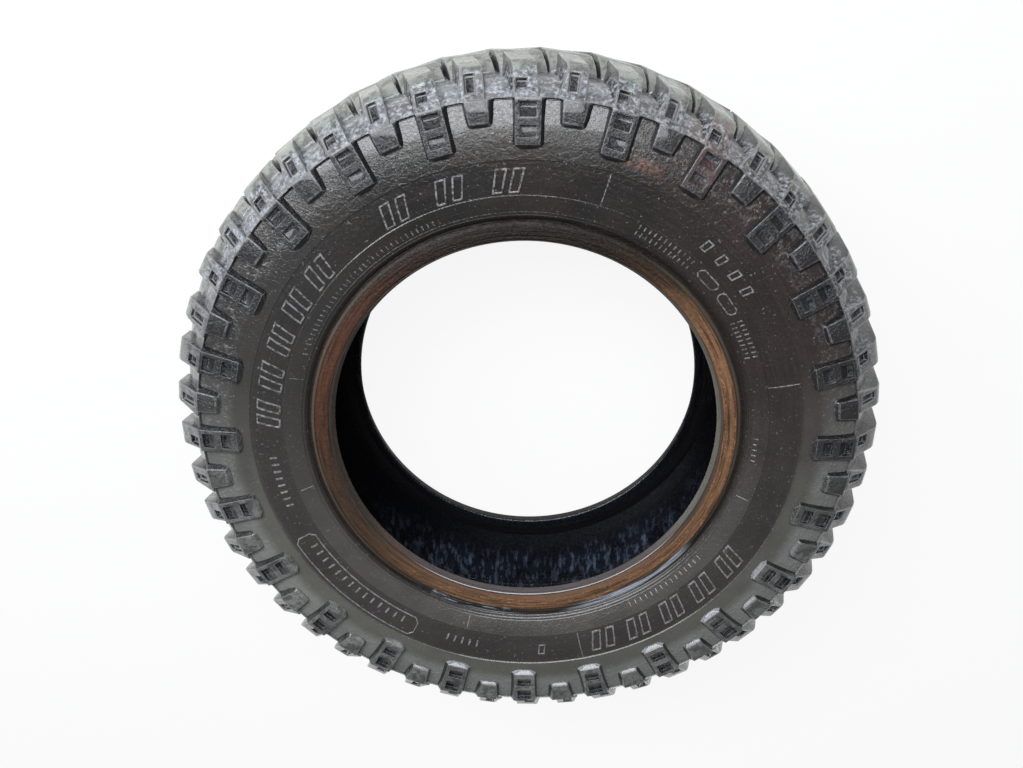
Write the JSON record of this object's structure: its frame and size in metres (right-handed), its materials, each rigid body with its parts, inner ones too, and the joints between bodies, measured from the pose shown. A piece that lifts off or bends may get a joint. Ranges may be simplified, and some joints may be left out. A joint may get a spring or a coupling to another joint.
{
  "type": "worn tyre",
  "caption": "Worn off-road tyre, off its rim, with blocky lugs over the shoulders, rust-stained beads and an open air space.",
  "frame": {"origin": "centre of the tyre: on its axis, at the middle of its width", "axes": "+Z along the tyre's axis, out of the side wall that faces up; the tyre lies on its other side wall"},
  "size_m": [0.697, 0.697, 0.2034],
  "materials": {
    "tyre": "old black rubber, dusty on the lugs and rust stained on the beads"
  },
  "bodies": {
    "root": {"tyre": "tyre"}
  },
  "joints": []
}
